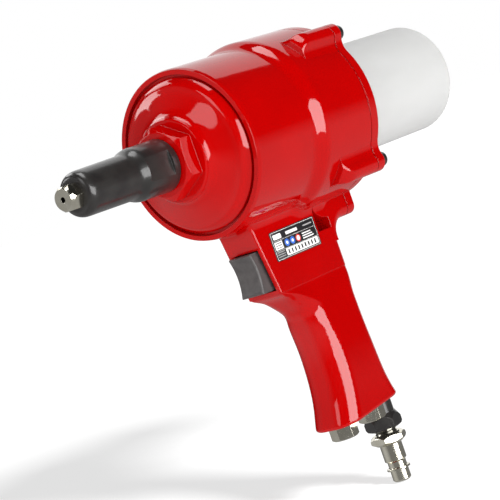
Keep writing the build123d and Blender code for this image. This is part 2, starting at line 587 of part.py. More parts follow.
with BuildPart() as jaw_pusher:
    revolve(turned((PUSHER_FRONT, PUSHER_HOLE_R), (PUSHER_FRONT, 3.0), (PUSHER_FRONT - 2.2, 5.2),
                   (PUSHER_FRONT - 4, 6.2), (PUSHER_FRONT - 5.5, jaw_cone_back_r - RUN),
                   (PUSHER_BACK, jaw_cone_back_r - RUN), (PUSHER_BACK, 5.0), (PUSHER_BACK - 4, 5.0),
                   (PUSHER_BACK - 4, PUSHER_HOLE_R)), axis=Axis.X)
jaw_pusher.part.label = "jaw_pusher"
export_step(jaw_pusher.part, "parts/jaw_pusher.step")


def coil_x(front, back, coil_r, wire_r, turns):
    """Compression spring about the X axis: one open helix of round wire between front and back."""
    length = front - back - 2 * wire_r
    path = Helix(pitch=length / turns, height=length, radius=coil_r, center=(back + wire_r, 0, 0),
                 direction=(1, 0, 0))
    with BuildSketch(Plane(origin=path @ 0, z_dir=path % 0)) as wire:
        Circle(wire_r)
    return wire.sketch, path


with BuildPart() as return_spring:
    section, path = coil_x(NUT_SIDE_SPRING_X, SPRING_SEAT_X, 25.0, 1.6, 3.5)
    sweep(section, path=path, is_frenet=True)
return_spring.part.label = "return_spring"
export_step(return_spring.part, "parts/return_spring.step")

with BuildPart() as jaw_spring:
    section, path = coil_x(PUSHER_BACK - 0.1, ROD_THREAD_FRONT + 0.1, 6.4, 0.6, 4)
    sweep(section, path=path, is_frenet=True)
jaw_spring.part.label = "jaw_spring"
export_step(jaw_spring.part, "parts/jaw_spring.step")

# ---- bush and seals on the pulling axis ----
with BuildPart() as wall_bush:
    revolve(turned((WALL_FRONT, ROD_R + RUN), (WALL_FRONT, BUSH_R), (WALL_BACK, BUSH_R), (WALL_BACK, ROD_R + RUN)),
            axis=Axis.X)
    revolve(turned(*seal_groove((WALL_FRONT + WALL_BACK) / 2, ROD_R, 2.0)), axis=Axis.X, mode=Mode.SUBTRACT)
wall_bush.part.label = "wall_bush"
export_step(wall_bush.part, "parts/wall_bush.step")

ring_sizes = (
    ("front_rod_seal", FRONT_SEAL_X, ROD_R + RUN, ROD_R + 2.55),
    ("wall_seal", (WALL_FRONT + WALL_BACK) / 2, ROD_R + RUN, ROD_R + 1.95),
    ("tail_seal", TAIL_SEAL_X, ROD_TAIL_R + RUN, ROD_TAIL_R + 2.15),
    ("front_cover_seal", COVER_SEAL_X, FRONT_BORE_R - 1.75, FRONT_BORE_R - 0.02),
    ("bottle_seal", BOTTLE_SEAL_X, SPIGOT_R - 1.85, SPIGOT_R + 0.2),
    ("front_piston_seal", FRONT_PISTON_X - PISTON_T / 2, FRONT_BORE_R - PISTON_GROOVE_D, FRONT_BORE_R - RUN),
    ("rear_piston_seal", REAR_PISTON_X - PISTON_T / 2, REAR_BORE_R - PISTON_GROOVE_D, REAR_BORE_R - RUN),
)
for ring_name, x, inner_r, outer_r in ring_sizes:
    with BuildPart() as ring_seal:
        revolve(o_ring(x, inner_r, outer_r), axis=Axis.X)
    ring_seal.part.label = ring_name
    export_step(ring_seal.part, "parts/" + ring_name + ".step")

# ---- valve in the handle ----
with BuildPart() as valve_bush:
    revolve(turned_at(VALVE_Z, (POCKET_BACK_X, SPOOL_R + RUN), (POCKET_BACK_X, VALVE_R), (BUSH_END_X, VALVE_R),
                      (BUSH_END_X, SPOOL_R + RUN)), axis=VALVE_AXIS)
    for x in (-152.0, -158.0):
        with Locations((x, 0, VALVE_Z)):
            Cylinder(1.5, 2 * VALVE_R + 1, mode=Mode.SUBTRACT)
valve_bush.part.label = "valve_bush"
export_step(valve_bush.part, "parts/valve_bush.step")

with BuildPart() as valve_spool:
    revolve(turned_at(VALVE_Z, (SPOOL_FRONT, 0), (SPOOL_FRONT, SPOOL_R - 0.7), (-137.5, SPOOL_R - 0.7),
                      (-137.5, SPOOL_R), (-143.2, SPOOL_R), (-143.2, 2.4), (-145.4, 2.4), (-145.4, SPOOL_R),
                      (-148, SPOOL_R), (-149, 2.2), (-153, 2.2), (-154, SPOOL_R), (-156, SPOOL_R), (-156, 2.4),
                      (-158.2, 2.4), (-158.2, SPOOL_R), (SPOOL_BACK, SPOOL_R), (SPOOL_BACK, 0)), axis=VALVE_AXIS)
valve_spool.part.label = "valve_spool"
export_step(valve_spool.part, "parts/valve_spool.step")

with BuildPart() as spool_seals:
    for x in (-144.3, -157.1):
        with BuildSketch(Plane.XZ):
            with Locations((x, VALVE_Z + 2.95)):
                Circle(0.52)
        revolve(axis=VALVE_AXIS)
spool_seals.part.label = "spool_seals"
export_step(spool_seals.part, "parts/spool_seals.step")

with BuildPart() as valve_spring:
    length = SPOOL_BACK - VALVE_BACK - 1.2
    coil = Helix(pitch=length / 6, height=length, radius=3.0, center=(VALVE_BACK + 0.6, 0, VALVE_Z),
                 direction=(1, 0, 0))
    with BuildSketch(Plane(origin=coil @ 0, z_dir=coil % 0)):
        Circle(0.4)
    sweep(path=coil, is_frenet=True)
valve_spring.part.label = "valve_spring"
export_step(valve_spring.part, "parts/valve_spring.step")

# ---- trigger: a sliding button with a finger hollow ----
with BuildPart() as trigger:
    with BuildSketch(Plane.XZ):
        with BuildLine():
            Polyline((TRIGGER_FACE_X, TRIGGER_TOP_Z), (TRIGGER_BACK_X, TRIGGER_TOP_Z),
                     (TRIGGER_BACK_X, TRIGGER_FOOT_Z), (TRIGGER_FACE_X - 0.3, TRIGGER_FOOT_Z))
            ThreePointArc((TRIGGER_FACE_X - 0.3, TRIGGER_FOOT_Z), (TRIGGER_FACE_X - TRIGGER_HOLLOW, VALVE_Z),
                          (TRIGGER_FACE_X, TRIGGER_TOP_Z))
        make_face()
    extrude(amount=TRIGGER_Y, both=True)
    fillet(trigger.edges().filter_by(lambda edge: edge.center().X > TRIGGER_FACE_X - TRIGGER_HOLLOW - 0.6),
           radius=1.4)
trigger.part.label = "trigger"
export_step(trigger.part, "parts/trigger.step")

# ---- fittings at the foot of the grip ----
for plug_name, (x, y, seat_z, seat_r), hex_z in zip(("exhaust_plug", "passage_plug"), SEATS,
                                                    (EXHAUST_HEX_Z, PASSAGE_HEX_Z)):
    with BuildPart() as plug:
        with BuildSketch(Plane.XY.offset(seat_z)):
            with Locations((x, y)):
                RegularPolygon(BOTTOM_HEX / 2, 6, major_radius=False, rotation=BOTTOM_HEX_TURN)
        extrude(amount=hex_z - seat_z)
        revolve(upright(x, y, (BOTTOM_HEX / 2 - 0.4, hex_z), (BOTTOM_HEX / 2 + 2, hex_z),
                        (BOTTOM_HEX / 2 + 2, hex_z + 1.4)),
                axis=Axis((x, y, 0), (0, 0, 1)), mode=Mode.SUBTRACT)
        with Locations((x, y, seat_z)):
            Cylinder(FOOT_THREAD_R, 8, align=(Align.CENTER, Align.CENTER, Align.MIN))
        with Locations((x, y, seat_z + 4)):
            Cylinder(AIR_WAY_R, 9, mode=Mode.SUBTRACT)
    plug.part.label = plug_name
    export_step(plug.part, "parts/" + plug_name + ".step")

with BuildPart() as inlet_bush:
    with BuildSketch(Plane.XY.offset(INLET_HEX_TOP)):
        with Locations((INLET_X, 0)):
            RegularPolygon(INLET_HEX / 2, 6, major_radius=False, rotation=INLET_HEX_TURN)
    extrude(amount=INLET_HEX_FOOT - INLET_HEX_TOP)
    revolve(upright(INLET_X, 0, (INLET_HEX / 2 - 0.6, INLET_HEX_TOP), (INLET_HEX / 2 + 2, INLET_HEX_TOP),
                    (INLET_HEX / 2 + 2, INLET_HEX_TOP - 5.0)), axis=INLET_AXIS, mode=Mode.SUBTRACT)
    revolve(upright(INLET_X, 0, (6.6, INLET_HEX_FOOT), (INLET_HEX / 2 + 2, INLET_HEX_FOOT),
                    (INLET_HEX / 2 + 2, INLET_HEX_FOOT + 3.6), (10.2, INLET_HEX_FOOT + 1.5)),
            axis=INLET_AXIS, mode=Mode.SUBTRACT)
    revolve(upright(INLET_X, 0, (0, INLET_HEX_TOP), (INLET_NECK_R, INLET_HEX_TOP), (INLET_NECK_R, INLET_SEAT_Z),
                    (FOOT_THREAD_R, INLET_SEAT_Z), (FOOT_THREAD_R, INLET_THREAD_TOP), (0, INLET_THREAD_TOP)),
            axis=INLET_AXIS)
    revolve(upright(INLET_X, 0, (0, INLET_HEX_FOOT - 1), (SWIVEL_BORE_R, INLET_HEX_FOOT - 1),
                    (SWIVEL_BORE_R, SWIVEL_TOP), (AIR_WAY_R, SWIVEL_TOP), (AIR_WAY_R, INLET_THREAD_TOP + 1),
                    (0, INLET_THREAD_TOP + 1)), axis=INLET_AXIS, mode=Mode.SUBTRACT)
inlet_bush.part.label = "inlet_bush"
export_step(inlet_bush.part, "parts/inlet_bush.step")

with BuildPart() as air_plug:
    with BuildSketch(Plane.XY.offset(SWIVEL_HEX_TOP)):
        with Locations((INLET_X, 0)):
            RegularPolygon(INLET_HEX / 2, 6, major_radius=False, rotation=SWIVEL_HEX_TURN)
    extrude(amount=SWIVEL_HEX_FOOT - SWIVEL_HEX_TOP)
    revolve(upright(INLET_X, 0, (8.0, SWIVEL_HEX_TOP), (INLET_HEX / 2 + 2, SWIVEL_HEX_TOP),
                    (INLET_HEX / 2 + 2, SWIVEL_HEX_TOP - 2.6)), axis=INLET_AXIS, mode=Mode.SUBTRACT)
    revolve(upright(INLET_X, 0, (7.6, SWIVEL_HEX_FOOT), (INLET_HEX / 2 + 2, SWIVEL_HEX_FOOT),
                    (INLET_HEX / 2 + 2, SWIVEL_HEX_FOOT + 2.6)), axis=INLET_AXIS, mode=Mode.SUBTRACT)
    revolve(upright(INLET_X, 0, (0, SWIVEL_HEX_TOP), (6.6, SWIVEL_HEX_TOP), (5.8, SWIVEL_FACE_Z),
                    (SWIVEL_BORE_R - RUN, SWIVEL_FACE_Z), (SWIVEL_BORE_R - RUN, SWIVEL_TOP - 0.4),
                    (0, SWIVEL_TOP - 0.4)), axis=INLET_AXIS)
    revolve(upright(INLET_X, 0, (0, SWIVEL_HEX_FOOT), (PLUG_R, SWIVEL_HEX_FOOT), (PLUG_R, PLUG_SLEEVE_Z),
                    (PLUG_NOSE_R, PLUG_SLEEVE_Z - 1), (PLUG_NOSE_R, PLUG_RING_Z), (PLUG_RING_R, PLUG_RING_Z - 0.2),
                    (PLUG_RING_R, PLUG_RING_Z - 1.3), (PLUG_NOSE_R, PLUG_RING_Z - 1.5),
                    (PLUG_NOSE_R, PLUG_TIP_Z + 0.9), (PLUG_NOSE_R - 0.9, PLUG_TIP_Z), (0, PLUG_TIP_Z)),
            axis=INLET_AXIS)
    with Locations((INLET_X, 0, (PLUG_TIP_Z + SWIVEL_TOP) / 2)):
        Cylinder(PLUG_HOLE_R, SWIVEL_TOP - PLUG_TIP_Z + 2, mode=Mode.SUBTRACT)
air_plug.part.label = "air_plug"
export_step(air_plug.part, "parts/air_plug.step")

# ---- collector bottle: a blown cup pushed over the ring on the rear cover ----
with BuildPart() as collector_bottle:
    with BuildSketch(Plane.XZ):
        with BuildLine():
            Polyline((BOTTLE_MOUTH_X, SPIGOT_R + 0.3), (BOTTLE_MOUTH_X, BOTTLE_R), (BOTTLE_END_X + 4.5, BOTTLE_END_R))
            RadiusArc((BOTTLE_END_X + 4.5, BOTTLE_END_R), (BOTTLE_END_X, BOTTLE_END_R - 4.5), -4.5)
            Polyline((BOTTLE_END_X, BOTTLE_END_R - 4.5), (BOTTLE_END_X, 0), (BOTTLE_END_X + BOTTLE_WALL, 0),
                     (BOTTLE_END_X + BOTTLE_WALL, BOTTLE_END_R - 5.0), (BOTTLE_END_X + 4.5, BOTTLE_END_R - 2.2),
                     (SPIGOT_BACK - 2, SPIGOT_R + 0.3), (BOTTLE_MOUTH_X, SPIGOT_R + 0.3))
        make_face()
    revolve(axis=Axis.X)
collector_bottle.part.label = "collector_bottle"
export_step(collector_bottle.part, "parts/collector_bottle.step")

# ---- rating plate on the left side of the handle ----
with BuildPart() as rating_plate:
    with BuildSketch(Plane(origin=(PLATE_X, BLOCK_Y, PLATE_Z), x_dir=(-1, 0, 0), z_dir=(0, 1, 0))):
        RectangleRounded(PLATE_L, PLATE_H, 1.2)
    extrude(amount=PLATE_T)
rating_plate.part.label = "rating_plate"
export_step(rating_plate.part, "parts/rating_plate.step")
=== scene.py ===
"""Studio scene of the pneumatic hand riveter: finishes, fine pieces, floor, lights and camera."""
import json
import math

import bmesh
import bpy
from mathutils import Matrix, Vector


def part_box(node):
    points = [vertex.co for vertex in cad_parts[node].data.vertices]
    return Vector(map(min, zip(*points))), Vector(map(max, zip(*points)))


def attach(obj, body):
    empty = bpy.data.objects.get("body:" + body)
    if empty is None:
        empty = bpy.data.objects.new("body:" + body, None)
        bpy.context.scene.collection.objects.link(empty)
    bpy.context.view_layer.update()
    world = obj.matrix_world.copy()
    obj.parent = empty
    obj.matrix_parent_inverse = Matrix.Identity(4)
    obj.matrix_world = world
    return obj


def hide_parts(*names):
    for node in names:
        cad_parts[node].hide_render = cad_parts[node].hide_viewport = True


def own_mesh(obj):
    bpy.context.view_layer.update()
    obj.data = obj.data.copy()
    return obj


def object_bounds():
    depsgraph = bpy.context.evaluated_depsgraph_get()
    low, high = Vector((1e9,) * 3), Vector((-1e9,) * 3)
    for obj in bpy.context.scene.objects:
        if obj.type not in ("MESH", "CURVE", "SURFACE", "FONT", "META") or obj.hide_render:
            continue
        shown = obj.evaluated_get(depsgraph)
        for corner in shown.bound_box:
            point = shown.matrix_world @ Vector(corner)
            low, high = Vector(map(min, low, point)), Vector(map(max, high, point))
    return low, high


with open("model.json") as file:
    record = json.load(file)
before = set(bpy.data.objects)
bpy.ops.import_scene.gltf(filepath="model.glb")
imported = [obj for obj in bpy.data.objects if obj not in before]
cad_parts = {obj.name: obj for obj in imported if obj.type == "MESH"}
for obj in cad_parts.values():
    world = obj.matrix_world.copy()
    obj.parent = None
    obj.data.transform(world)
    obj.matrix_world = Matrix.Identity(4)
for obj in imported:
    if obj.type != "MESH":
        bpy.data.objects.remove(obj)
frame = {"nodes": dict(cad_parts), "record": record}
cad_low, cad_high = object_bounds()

MM = 0.001
NODES = frame["nodes"]
BODY_OF = {node: body for body, nodes in frame["record"]["behaviour"]["bodies"].items() for node in nodes}


# ---------------------------------------------------------------- materials
class Finish:
    """A material under construction: its principled shader, and short helpers for its textures."""

    def __init__(self, name, color, roughness, metallic=0.0, coat=0.0, coat_roughness=0.05, specular=0.5):
        self.material = bpy.data.materials.new(name)
        self.material.use_nodes = True
        self.tree = self.material.node_tree
        self.shader = self.tree.nodes["Principled BSDF"]
        self.set("Base Color", (*color, 1.0))
        self.set("Roughness", roughness)
        self.set("Metallic", metallic)
        self.set("Coat Weight", coat)
        self.set("Coat Roughness", coat_roughness)
        self.set("Specular IOR Level", specular)
        self.coords = self.node("ShaderNodeTexCoord")
        self.normal = None

    def set(self, socket, value):
        self.shader.inputs[socket].default_value = value

    def node(self, kind, **inputs):
        made = self.tree.nodes.new(kind)
        for socket, value in inputs.items():
            made.inputs[socket.replace("_", " ")].default_value = value
        return made

    def link(self, out, into):
        self.tree.links.new(out, into)

    def stretched(self, stretch):
        """Object coordinates, stretched along each axis."""
        mapping = self.node("ShaderNodeMapping")
        mapping.inputs["Scale"].default_value = stretch
        self.link(self.coords.outputs["Object"], mapping.inputs["Vector"])
        return mapping.outputs["Vector"]

    def noise(self, scale, detail=3.0, stretch=(1, 1, 1), rough=0.5):
        made = self.node("ShaderNodeTexNoise", Scale=scale, Detail=detail, Roughness=rough)
        self.link(self.stretched(stretch), made.inputs["Vector"])
        return made.outputs["Fac"]

    def spread(self, fac, low, high, start=0.3, end=0.7):
        """Maps a texture onto a range of values."""
        made = self.node("ShaderNodeMapRange")
        for socket, value in (("From Min", start), ("From Max", end), ("To Min", low), ("To Max", high)):
            made.inputs[socket].default_value = value
        self.link(fac, made.inputs["Value"])
        return made.outputs["Result"]

    def tint(self, fac, dark, light, start=0.3, end=0.7):
        """Colours the surface between two shades by a texture."""
        ramp = self.node("ShaderNodeValToRGB")
        ramp.color_ramp.elements[0].position = start
        ramp.color_ramp.elements[0].color = (*dark, 1.0)
        ramp.color_ramp.elements[1].position = end
        ramp.color_ramp.elements[1].color = (*light, 1.0)
        self.link(fac, ramp.inputs["Fac"])
        self.link(ramp.outputs["Color"], self.shader.inputs["Base Color"])
        return self

    def gloss(self, fac, low, high):
        self.link(self.spread(fac, low, high), self.shader.inputs["Roughness"])
        return self

    def soften(self, radius):
        """Rounds hard edges in the shading, as paint, plating or tumbling does."""
        made = self.node("ShaderNodeBevel", Radius=radius)
        made.samples = 4
        self.normal = made.outputs["Normal"]
        return self

    def bump(self, fac, strength, distance):
        made = self.node("ShaderNodeBump", Strength=strength, Distance=distance)
        self.link(fac, made.inputs["Height"])
        if self.normal:
            self.link(self.normal, made.inputs["Normal"])
        self.normal = made.outputs["Normal"]
        return self

    def done(self):
        if self.normal:
            self.link(self.normal, self.shader.inputs["Normal"])
            if self.shader.inputs["Coat Weight"].default_value:
                self.link(self.normal, self.shader.inputs["Coat Normal"])
        return self.material


def red_enamel():
    """Gloss enamel over a casting: a slow unevenness from the casting and a fine orange peel."""
    paint = Finish("red_enamel", (0.30, 0.0, 0.0), 0.3, coat=1.0, coat_roughness=0.06, specular=0.0)
    paint.tint(paint.noise(38.0, 4.0), (0.285, 0.0, 0.0), (0.315, 0.0, 0.0))
    paint.soften(0.6 * MM)
    paint.bump(paint.noise(90.0, 2.0), 0.10, 0.25 * MM)
    paint.bump(paint.noise(900.0, 2.0), 0.05, 0.05 * MM)
    return paint.done()


def black_oxide(name="black_oxide", roughness=0.34):
    """Satin black steel with a fine turned grain and slightly worn, lighter patches."""
    steel = Finish(name, (0.010, 0.009, 0.009), roughness, coat=0.6, coat_roughness=0.14, specular=0.3)
    steel.tint(steel.noise(120.0, 5.0), (0.008, 0.007, 0.007), (0.015, 0.014, 0.013))
    steel.soften(0.35 * MM)
    steel.gloss(steel.noise(260.0, 3.0, (6, 1, 1)), roughness - 0.05, roughness + 0.08)
    steel.bump(steel.noise(700.0, 2.0, (5, 0.6, 0.6)), 0.12, 0.04 * MM)
    return steel.done()


def bright_nickel():
    """Bright nickel plate: warm, mirror-like, a little hazed by handling."""
    plate = Finish("bright_nickel", (0.80, 0.76, 0.64), 0.12, metallic=1.0)
    plate.tint(plate.noise(210.0, 4.0), (0.76, 0.72, 0.60), (0.84, 0.81, 0.70))
    plate.soften(0.3 * MM)
    plate.gloss(plate.noise(500.0, 4.0), 0.09, 0.2)
    plate.bump(plate.noise(420.0, 3.0), 0.05, 0.03 * MM)
    return plate.done()


def turned_metal(name, dark, light, roughness):
    """Turned metal: fine rings round the X axis, some longer tool marks and a slight stain."""
    metal = Finish(name, light, roughness, metallic=1.0)
    metal.tint(metal.noise(160.0, 5.0), dark, light)
    metal.soften(0.2 * MM)
    metal.gloss(metal.noise(800.0, 2.0, (4, 0.3, 0.3)), roughness - 0.08, roughness + 0.1)
    metal.bump(metal.noise(1600.0, 2.0, (4, 0.2, 0.2)), 0.2, 0.03 * MM)
    return metal.done()


def black_rubber(name="black_rubber", color=(0.018, 0.018, 0.018)):
    """Moulded nitrile rubber, matt with a dusty bloom."""
    rubber = Finish(name, color, 0.62)
    rubber.tint(rubber.noise(300.0, 5.0), color, tuple(0.012 + 1.3 * part for part in color))
    rubber.gloss(rubber.noise(420.0, 3.0), 0.52, 0.72)
    rubber.bump(rubber.noise(1500.0, 2.0), 0.15, 0.03 * MM)
    return rubber.done()


def trigger_plastic():
    """Charcoal glass-filled nylon with a fine spark-eroded grain."""
    nylon = Finish("trigger_nylon", (0.045, 0.040, 0.040), 0.42, specular=0.55)
    nylon.tint(nylon.noise(240.0, 5.0), (0.036, 0.032, 0.032), (0.055, 0.050, 0.049))
    nylon.soften(0.45 * MM)
    nylon.gloss(nylon.noise(900.0, 3.0), 0.36, 0.52)
    nylon.bump(nylon.noise(1400.0, 4.0), 0.3, 0.06 * MM)
    return nylon.done()


def frosted_polyethylene():
    """Blow-moulded milky plastic: light scatters inside it, with faint flow streaks along the draw."""
    milky = Finish("frosted_polyethylene", (0.41, 0.41, 0.405), 0.42, specular=0.3)
    milky.set("Subsurface Weight", 0.35)
    milky.set("Subsurface Radius", (1.0, 1.0, 1.0))
    milky.set("Subsurface Scale", 4 * MM)
    milky.tint(milky.noise(30.0, 4.0, (0.4, 1, 1)), (0.40, 0.40, 0.395), (0.44, 0.44, 0.435))
    milky.soften(0.4 * MM)
    milky.gloss(milky.noise(60.0, 3.0, (0.3, 1, 1)), 0.36, 0.5)
    milky.bump(milky.noise(55.0, 3.0, (0.25, 1, 1)), 0.12, 0.3 * MM)
    return milky.done()


def printed(name, color):
    """A printed patch on the rating plate."""
    ink = Finish(name, color, 0.34, specular=0.5)
    ink.tint(ink.noise(900.0, 2.0), tuple(0.94 * part for part in color), color)
    return ink.done()


FINISH = {
    "red_paint": red_enamel(),
    "black_steel": black_oxide(),
    "nickel": bright_nickel(),
    "tool_steel": turned_metal("ground_steel", (0.36, 0.36, 0.37), (0.48, 0.48, 0.49), 0.28),
    "spring_steel": turned_metal("spring_steel", (0.20, 0.20, 0.21), (0.34, 0.34, 0.35), 0.35),
    "aluminium": turned_metal("turned_aluminium", (0.66, 0.67, 0.68), (0.78, 0.79, 0.80), 0.3),
    "bronze": turned_metal("turned_bronze", (0.50, 0.34, 0.15), (0.66, 0.47, 0.23), 0.3),
    "rubber": black_rubber(),
    "gasket": black_rubber("gasket_fibre", (0.05, 0.012, 0.012)),
    "trigger_plastic": trigger_plastic(),
    "bottle_plastic": frosted_polyethylene(),
    "plate": printed("plate_black", (0.012, 0.012, 0.013)),
}
SLOT_OF = {part["node"]: part["material_slot"] for part in frame["record"]["subparts"]}
for node_name, cad_object in NODES.items():
    cad_object.data.materials.clear()
    cad_object.data.materials.append(FINISH[SLOT_OF[node_name]])


# ---------------------------------------------------------------- piece helpers
def piece(name, mesh, body, materials, smooth_angle=35):
    """A finished piece in the part's own frame, riding on a body and taking a material slot."""
    for polygon in mesh.polygons:
        polygon.use_smooth = True
    obj = bpy.data.objects.new(name, mesh)
    bpy.context.scene.collection.objects.link(obj)
    for material in materials:
        mesh.materials.append(material)
    mesh.set_sharp_from_angle(angle=math.radians(smooth_angle))
    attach(obj, body)
    return obj


def mesh_from(bm, name):
    """Turns a bmesh into a mesh with outward normals."""
    bmesh.ops.recalc_face_normals(bm, faces=bm.faces)
    mesh = bpy.data.meshes.new(name)
    bm.to_mesh(mesh)
    bm.free()
    return mesh


def loft_rings(bm, rings, cap_end=True):
    """Skins closed rings of vertices, and caps the first ring and, if asked, the last."""
    for first, second in zip(rings, rings[1:]):
        count = len(first)
        for i in range(count):
            bm.faces.new((first[i], first[(i + 1) % count], second[(i + 1) % count], second[i]))
    bm.faces.new(rings[0][::-1])
    if cap_end:
        bm.faces.new(rings[-1])


# ---------------------------------------------------------------- springs
DEAD_TURNS = 1.0            # closed turns at each end of a spring
STEPS_PER_TURN = 40
WIRE_SIDES = 12


def spring(name, node, front, back, coil_r, wire_r, turns, height):
    """A compression spring about the X direction with closed ends."""
    total = turns + 2 * DEAD_TURNS
    steps = round(total * STEPS_PER_TURN)
    live = front - back - 2 * wire_r - 2 * DEAD_TURNS * 2 * wire_r
    bm = bmesh.new()
    rings = []
    for step in range(steps + 1):
        turn = total * step / steps
        start_dead = min(turn, DEAD_TURNS)
        end_dead = max(turn - DEAD_TURNS - turns, 0.0)
        rise = min(max(turn - DEAD_TURNS, 0.0), turns) / turns
        x = back + wire_r + (start_dead + end_dead) * 2 * wire_r + rise * live
        angle = 2 * math.pi * turn
        out = Vector((0, math.cos(angle), math.sin(angle)))
        ring = []
        for side in range(WIRE_SIDES):
            phase = 2 * math.pi * side / WIRE_SIDES
            centre = Vector((x, 0, height)) + out * coil_r
            round_wire = math.cos(phase) * out + math.sin(phase) * Vector((1, 0, 0))
            ring.append(bm.verts.new(centre + wire_r * round_wire))
        rings.append(ring)
    loft_rings(bm, rings)
    made = piece(name, mesh_from(bm, name), BODY_OF[node], [FINISH["spring_steel"]], 60)
    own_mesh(made)
    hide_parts(node)


low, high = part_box("return_spring")
spring("return_coil", "return_spring", high.x, low.x,
       coil_r=25 * MM, wire_r=1.5 * MM, turns=2.0, height=0.0)
low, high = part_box("valve_spring")
spring("valve_coil", "valve_spring", high.x, low.x,
       coil_r=2.9 * MM, wire_r=0.35 * MM, turns=4.0, height=(low.z + high.z) / 2)
low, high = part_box("jaw_spring")
spring("jaw_coil", "jaw_spring", high.x, low.x,
       coil_r=6.4 * MM, wire_r=0.6 * MM, turns=2.5, height=0.0)


# ---------------------------------------------------------------- cover screws
HEAD_R, HEAD_H = 4.25 * MM, 5 * MM
SOCKET_R, SOCKET_DEPTH = 2.31 * MM, 2.6 * MM
SHANK_R = 2.5 * MM
KNURL_TEETH, KNURL_DEPTH = 36, 0.14 * MM


def knurled_screw(bm, y, z, head_x, tip_x):
    """A socket cap screw along X: knurled head facing -X with a hexagon socket, and its shank."""
    face_x = head_x - HEAD_H

    def ring(x, radius, wave=0.0, hexagon=False):
        verts = []
        for i in range(2 * KNURL_TEETH):
            angle = math.pi * i / KNURL_TEETH
            r = radius - (wave if i % 2 else 0.0)
            if hexagon:
                r = radius * math.cos(math.pi / 6) / math.cos((angle % (math.pi / 3)) - math.pi / 6)
            verts.append(bm.verts.new((x, y + r * math.cos(angle), z + r * math.sin(angle))))
        return verts

    rings = [
        ring(tip_x, SHANK_R * 0.8), ring(tip_x - 0.8 * MM, SHANK_R), ring(head_x, SHANK_R),
        ring(head_x, HEAD_R - 0.3 * MM), ring(head_x - 0.3 * MM, HEAD_R - 0.1 * MM),
        ring(head_x - 0.6 * MM, HEAD_R, KNURL_DEPTH), ring(face_x + 1.0 * MM, HEAD_R, KNURL_DEPTH),
        ring(face_x + 0.6 * MM, HEAD_R - 0.12 * MM), ring(face_x + 0.15 * MM, HEAD_R - 0.5 * MM),
        ring(face_x, HEAD_R - 0.8 * MM), ring(face_x, SOCKET_R * 1.12),
        ring(face_x + 0.25 * MM, SOCKET_R, hexagon=True),
        ring(face_x + SOCKET_DEPTH, SOCKET_R, hexagon=True),
    ]
    loft_rings(bm, rings)


low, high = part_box("cover_screws")
screw_reach = high.z - HEAD_R
bm = bmesh.new()
for y_side in (1, -1):
    for z_side in (1, -1):
        knurled_screw(bm, y_side * screw_reach, z_side * screw_reach, low.x + HEAD_H, high.x)
screws = piece("knurled_cap_screws", mesh_from(bm, "knurled_cap_screws"), "housing",
               [black_oxide("screw_black", 0.3)], 30)
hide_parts("cover_screws")


